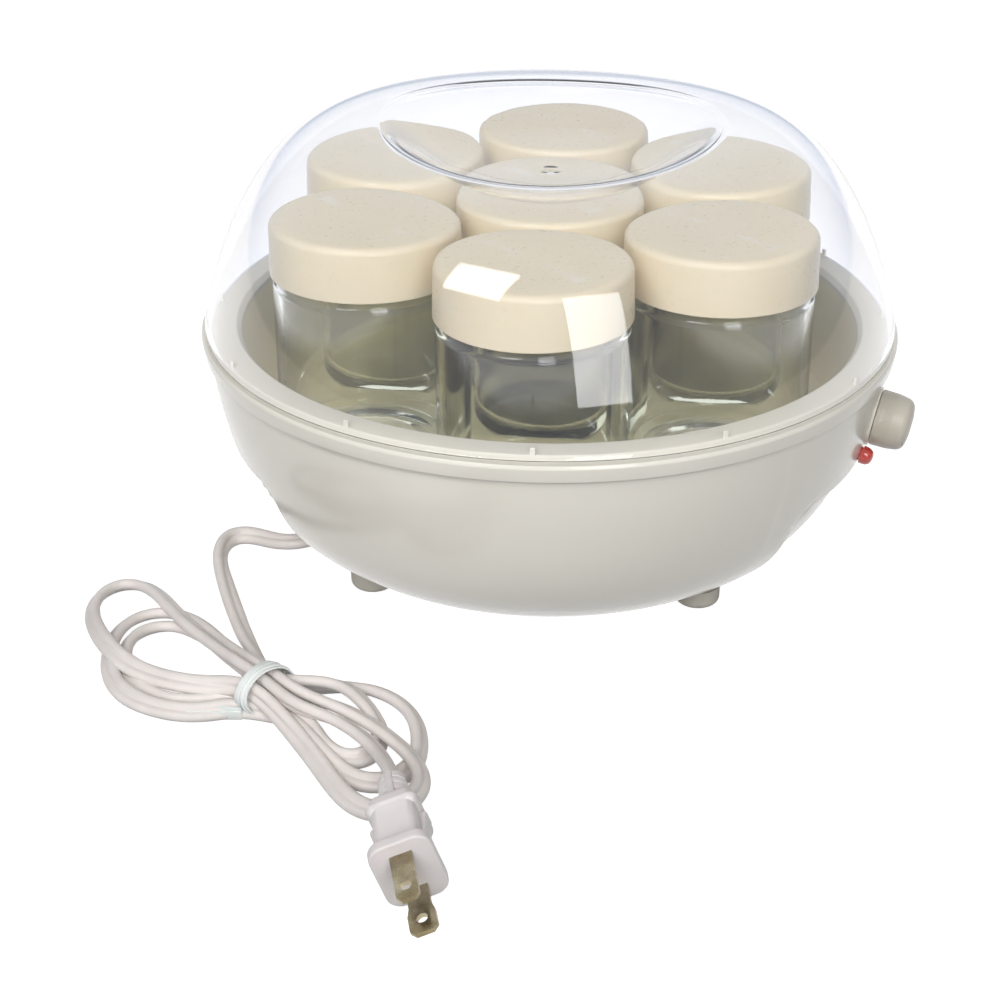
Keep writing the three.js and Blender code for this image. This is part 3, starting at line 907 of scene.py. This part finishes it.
    def blade(self, number: int, side: int, root: float, tip: float) -> bpy.types.Object:
        """One blade of the plug, holed near its tip.

        Args:
            number: 1 for the upper blade, 2 for the lower.
            side: 1 above the plug's axis, -1 below it.
            root: its width at the plate.
            tip: its width at the end.

        Returns:
            The blade.
        """
        w, t = root / 2, tip / 2
        face = self.plug_face
        outline = [(face - 4, -w), (face + 7, -w), (face + 10, -t), (face + 15.2, -t),
                   (face + 17, -t + 1.5), (face + 17, t - 1.5), (face + 15.2, t), (face + 10, t),
                   (face + 7, w), (face - 4, w)]
        bm = plate_of(outline, 1.5)
        soften(bm, bm.edges[:], 0.18, 2)
        place(bm, shifted(0, 0, side * self.blade_off))
        obj = finished(f"plug_pin_{number}", self.on_plug(bm))
        drill = bmesh.new()
        bmesh.ops.create_cone(drill, cap_ends=True, segments=32, radius1=1.6, radius2=1.6, depth=6)
        place(drill, shifted(face + self.blade_hole, 0, side * self.blade_off))
        combine(obj, [finished("drill", self.on_plug(drill))], Join.CUT)
        return dress(obj, BLADE_NICKEL, "brass", "base", f"plug_blade_{number}")

    def exit_sleeve(self) -> bpy.types.Object:
        """The tapered relief where the lead leaves the base."""
        bm = place(self.ribbed(25.0, 3.0, 5.6, 5), stretched(-1, 1, 0.72))
        bmesh.ops.recalc_face_normals(bm, faces=bm.faces[:])
        place(bm, shifted(89.7, 0, 0), shifted(-77.2, 0, 0), turned(5, "Y"), shifted(77.2, 0, 6.2),
              turned(EXIT_AZIMUTH, "Z"))
        return dress(finished("exit_relief", bm), PLUG_WHITE, "cord_white", "base", "cord_sleeve")

    def tie(self) -> bpy.types.Object:
        """The twist tie: two turns of ridged ribbon round the waist, and its two tails."""
        turns = []
        for lean, along in ((4.0, -1.4), (-5.0, 1.6)):
            band = revolve(fillet([(7.5, -1.9), (8.0, -1.9, 0.15), (8.0, -0.45), (8.35, -0.3, 0.1),
                                   (8.35, 0.3, 0.1), (8.0, 0.45), (8.0, 1.9, 0.15), (7.5, 1.9)],
                                  2), 56)
            turns.append(place(band, turned(90, "Y"), stretched(1, 1.24, 0.9), turned(lean, "Z"),
                               turned(lean * 1.5, "Y"), shifted(along, 0, 7.6)))
        for lean, lift in ((-40.0, 2.2), (-30.0, 3.4)):
            tail = rounded_block((17, 0.5, 3.4), 0.15, 2)
            turns.append(place(tail, shifted(-8.5, 0, 0), turned(12, "X"), turned(-lean, "Z"),
                               shifted(0, -9.4, lift)))
        parts = [finished("lead_tie", place(t, turned(self.waist_turn, "Z"),
                                            shifted(*self.waist, 0))) for t in turns]
        combine(parts[0], parts[1:], Join.ADD)
        return dress(parts[0], TIE_WHITE, "cord_white", "base", "cord_tie")


# ---------------------------------------------------------------- base
@dataclass
class HeatedBase:
    """The outer shell, the tray in it, the feet and the heater beneath."""

    facets: int = 240
    wall: float = 2.4
    grip_depth: float = 3.4
    grip_half: float = 0.67
    grip_top: float = 43.0
    foot_at: float = 77.6
    side: list[tuple[float, float]] = field(default_factory=lambda: [
        (74, 5), (80, 6.7), (86, 9.3), (92, 13.4), (97.4, 18.2), (102, 23.8), (106.2, 31),
        (110.2, 41), (113.3, 52), (115.5, 62.6), (117, 73),
    ])

    def build(self) -> None:
        """Makes every piece and dresses the hidden ones that the frame already has."""
        self.shell()
        self.tray()
        for number, azimuth in enumerate((45, 135, 225, 315), 1):
            self.foot(number, azimuth)
        kept = {
            SHELL_CREAM: ("bottom_cover",),
            STEEL: ("base_screw_1", "base_screw_2", "base_screw_3", "lamp_clip", "bar_screw",
                    "heating_element", "element_bar", "thermal_fuse"),
            ALUMINIUM: ("heater_plate",),
            BAKELITE: ("thermostat", "live_wire"),
            CLAMP_NYLON: ("terminal_block", "cord_clamp"),
            FLEX_WHITE: ("neutral_wire", "lamp_wire"),
        }
        for finish, nodes in kept.items():
            for node in nodes:
                dress_node(node, finish)

    def press(self, bm: bmesh.types.BMesh) -> None:
        """Presses the two finger holds into the shell's sides, with crisp rounded borders."""
        for v in bm.verts:
            r = math.hypot(v.co.x, v.co.y)
            if r < 70:
                continue
            around = (self.grip_half - abs(math.atan2(v.co.y, abs(v.co.x)))) * r
            down = self.grip_top - v.co.z
            corner = 11.0
            if around < corner and down < corner:
                inside = corner - math.hypot(corner - around, corner - down)
            else:
                inside = min(around, down)
            depth = self.grip_depth * fade(inside / 2.0) * fade((v.co.z - 5.6) / 3)
            v.co.x *= 1 - depth / r
            v.co.y *= 1 - depth / r

    def shell(self) -> bpy.types.Object:
        """The bowl with its rim band."""
        outer = [tuple(p) for p in flowing(self.side, 5)]
        inner = aside(outer, self.wall)[8:-3]
        rim = fillet([(117, 73), (117.25, 73.5), (118.7, 74.3, 0.6), (119.5, 78.9, 1.2),
                      (118.9, 80.0, 0.5), (112.6, 80, 0.3), (112.6, 77.6), (114.8, 76)], 4)[1:]
        outline = [(70, 5), *outer, *rim, *reversed(inner), (60, 9.2), (60, 6.8), (70, 6.8)]
        bm = revolve(outline, self.facets)
        self.press(bm)
        obj = finished("base_shell", bm, sharp=40)
        notch = rounded_block((34, 15, 14), 1.0)
        place(notch, shifted(78, 0, 4.6), turned(EXIT_AZIMUTH, "Z"))
        lamp = place(rod(2.7, -9, 9), outwards(*LAMP_SEAT))
        dial = place(rod(2.6, -9, 9), outwards(*DIAL_SEAT))
        seat = place(revolve(fillet([(0, -1.6), (10.2, -1.6), (10.2, 0.2, 0.15), (0, 0.2)], 3), 64),
                     outwards(*DIAL_SEAT))
        combine(obj, [finished("seat", seat)], Join.ADD)
        combine(obj, [finished("cutter", bm) for bm in (notch, lamp, dial)], Join.CUT)
        return dress(obj, SHELL_CREAM, "shell_cream", "base", "outer_shell")

    def tray(self) -> bpy.types.Object:
        """The flanged tray with its hub, its screw posts and the ribs that centre the lid."""
        outline = fillet([
            (0, 40), (97.4, 40), (101.6, 44.6), (107.6, 76), (108.4, 80.3), (115.2, 80.3),
            (115.4, 80.5), (115.4, 82.1, 0.5), (107.3, 82.2, 1.0), (105.7, 80.4, 1.0),
            (99.8, 46.2, 2.0), (96.8, 42, 3.0), (0, 42),
        ], 5)
        obj = finished("tray_moulding", revolve(outline, 160))
        posts = [rod(5.5, 27, 41)]
        for azimuth in (60, 180, 300):
            posts.append(place(rod(4, 9.4, 41), shifted(56, 0, 0), turned(azimuth, "Z")))
        for k in range(12):
            rib = place(rounded_block((0.9, 1.8, 4.4), 0.3), shifted(114.85, 0, 82.2))
            posts.append(place(rib, turned(2 + 30 * k, "Z")))
        combine(obj, [finished("post", bm) for bm in posts], Join.ADD)
        return dress(obj, TRAY_BEIGE, "tray_beige", "base", "inner_tray")

    def foot(self, number: int, azimuth: float) -> bpy.types.Object:
        """One rubber foot, rounded underneath and set into the shell."""
        outline = fillet([(0, 0), (4.6, 0), (7.5, 1.6, 2.4), (7.6, 7.2), (0, 7.2)], 6)
        bm = place(revolve(outline, 48), shifted(self.foot_at, 0, 0), turned(azimuth, "Z"))
        return dress(finished(f"foot_pad_{number}", bm), FOOT_RUBBER, "foot_rubber", "base",
                     f"foot_{number}")


def dress_node(node: str, finish: Finish) -> None:
    """Gives one of the frame's own nodes a finish."""
    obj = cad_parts[node]
    obj.data.materials.clear()
    obj.data.materials.append(finish.material())
    LOG.info("%s: kept, %s", node, finish.name)


# ---------------------------------------------------------------- controls
class Controls:
    """The dial knob with its spindle, and the pilot lamp."""

    def build(self) -> None:
        """Makes the knob and the lamp."""
        self.knob()
        self.lamp()
        for node in ("dial_spindle", "dial_clip"):
            dress_node(node, STEEL)

    def knob(self) -> bpy.types.Object:
        """A round-edged knob with an oval inset on its face and a pointer on its skirt."""
        outline = fillet([
            (0, 0.4), (9.3, 0.4), (9.6, 0.8, 0.3), (9.5, 6.0, 3.0), (8.6, 11.6, 5.0), (3.6, 12.4, 3.0),
            (0, 12.45),
        ], 8)
        lie = outwards(*DIAL_SEAT)
        obj = finished("dial_moulding", place(revolve(outline, 96), lie))
        groove = revolve(fillet([(5.2, -0.5), (5.2, 0.5, 0.2), (5.7, 0.5, 0.2), (5.7, -0.5)], 3), 64)
        place(groove, stretched(0.5, 1.0, 1.0), turned(24, "Y"), shifted(3.2, -1.4, 11.6), lie)
        combine(obj, [finished("groove", groove)], Join.CUT)
        pointer = plate_of([(0, -2.6), (3.2, 0), (0, 2.6)], 1.0)
        place(pointer, turned(-90, "Y"), shifted(-9.3, 0, 2.0), turned(60, "Z"), lie)
        combine(obj, [finished("pointer", pointer)], Join.ADD)
        return dress(obj, KNOB_CREAM, "shell_cream", "dial", "dial_knob")

    def lamp(self) -> bpy.types.Object:
        """The red dome of the pilot lamp."""
        outline = fillet([
            (0, -4.8), (2.4, -4.8), (2.4, 0.6), (3.1, 0.6), (3.1, 1.6, 0.4), (2.9, 2.9, 1.2),
            (2.2, 4.1, 1.6), (1.1, 4.55, 1.6), (0, 4.65),
        ], 5)
        bm = place(revolve(outline, 48), outwards(*LAMP_SEAT))
        return dress(finished("pilot_lens", bm), LENS_RED, "lamp_red", "base", "lamp_lens")


# ---------------------------------------------------------------- lid
@dataclass
class ClearLid:
    """The domed lid with its dished top."""

    foot: float = 80.8
    spring: float = 82.5
    radius: float = 118.2
    crest_radius: float = 57.1
    crest_height: float = 148.3
    wall: float = 2.2
    wave: float = 1.8
    facets: int = 200

    def build(self) -> bpy.types.Object:
        """Makes the lid with its wall, its slight wave and its gate mark."""
        outer = self.outside()
        inner = aside(outer, self.wall)
        inner = [(r, z) for r, z in inner if z > self.spring + 1.5]
        outline = [*reversed(outer), (self.radius - 0.3, self.foot), (self.radius - 1.9, self.foot),
                   (self.radius - 2.2, self.foot + 0.3), (self.radius - 2.2, self.spring), *inner]
        outline[0] = (0.0, outline[0][1])
        outline[-1] = (0.0, outline[-1][1])
        bm = revolve(outline, self.facets)
        for v in bm.verts:
            r = math.hypot(v.co.x, v.co.y)
            near = fade((r - 22) / 34) * fade((self.radius - 6 - r) / 46)
            v.co.z += self.wave * near * math.cos(2 * math.atan2(v.co.y, v.co.x))
        obj = finished("lid_dome", bm, sharp=50)
        return dress(obj, LID_CLEAR, "lid_clear", "lid", "lid")

    def outside(self) -> Profile:
        """The outer line from the foot up over the crest and down to the middle of the dish."""
        line: Profile = [(self.radius, self.foot + 0.3), (self.radius, self.spring)]
        span, rise = self.radius - self.crest_radius, self.crest_height - self.spring
        for k in range(1, 40):
            t = 1 - (k / 40) ** 1.6
            line.append((self.crest_radius + span * t,
                         self.spring + rise * (1 - t ** 2.96) ** (1 / 1.2254)))
        dish = flowing([(self.crest_radius + 0.4, 148.25), (54.2, 147.2), (48.2, 143.2), (39, 137.6),
                        (30, 134.9), (20, 133.3), (9, 132.6), (3.6, 132.5)], 4)
        line += [(p.x, p.y) for p in dish]
        return [*line, (2.6, 132.42), (1.6, 132.2), (0.8, 132.2), (0.0, 132.25)]


# ---------------------------------------------------------------- jars
@dataclass
class JarSet:
    """Seven glass jars with their push-on caps."""

    pitch: float = 66.6
    base: float = 42.3
    facets: int = 72

    def build(self) -> None:
        """Makes each jar and cap in its place."""
        places = [(0.0, 0.0)]
        for azimuth in (270, 330, 30, 90, 150, 210):
            a = math.radians(azimuth)
            places.append((self.pitch * math.cos(a), self.pitch * math.sin(a)))
        for number, at in enumerate(places, 1):
            self.jar(number, at)
            self.cap(number, at)

    def jar(self, number: int, at: tuple[float, float]) -> bpy.types.Object:
        """One jar, with a thick pushed-up bottom and a rounded shoulder."""
        b = self.base
        outline = fillet([
            (0, b + 1.4), (16, b + 1.1, 8.0), (23, b + 0.2, 2.0), (28.4, b, 2.5), (30.8, b + 3, 2.5),
            (30.8, 104.2, 2.2), (28.4, 106.8, 1.6), (28.4, 122.4, 0.9), (26.0, 122.4, 0.9),
            (25.8, 106.0, 2.0), (28.2, 102.6, 2.4), (28.2, b + 8, 5.0), (24, b + 5.2, 6.0),
            (0, b + 4.4),
        ], 6)
        obj = finished(f"jar_glass_{number}", revolve(outline, self.facets), at)
        return dress(obj, JAR_GLASS, "jar_glass", f"jar_{number}_body", f"jar_{number}")

    def cap(self, number: int, at: tuple[float, float]) -> bpy.types.Object:
        """One cap: a shallow lid with a rounded top edge and a sealing ring inside."""
        outline = fillet([
            (0, 125.3), (24, 125.35, 20.0), (31.2, 125.1, 2.6), (31.7, 107.4, 0.3), (31.4, 107.2),
            (30.2, 107.2), (30.0, 107.6, 0.2), (29.9, 122.9, 0.8), (24.8, 122.9), (24.6, 122.0),
            (23.6, 122.0), (23.4, 122.9), (0, 122.9),
        ], 7)
        obj = finished(f"cap_moulding_{number}", revolve(outline, self.facets), at)
        return dress(obj, CAP_CREAM, "cap_cream", f"cap_{number}_body", f"jar_cap_{number}")


def main() -> None:
    """Builds the scene."""
    logging.basicConfig(level=logging.INFO, format="%(name)s %(message)s")
    Studio().build()
    MainsLead().build()
    HeatedBase().build()
    Controls().build()
    JarSet().build()
    ClearLid().build()


if __name__ == "__main__":
    main()
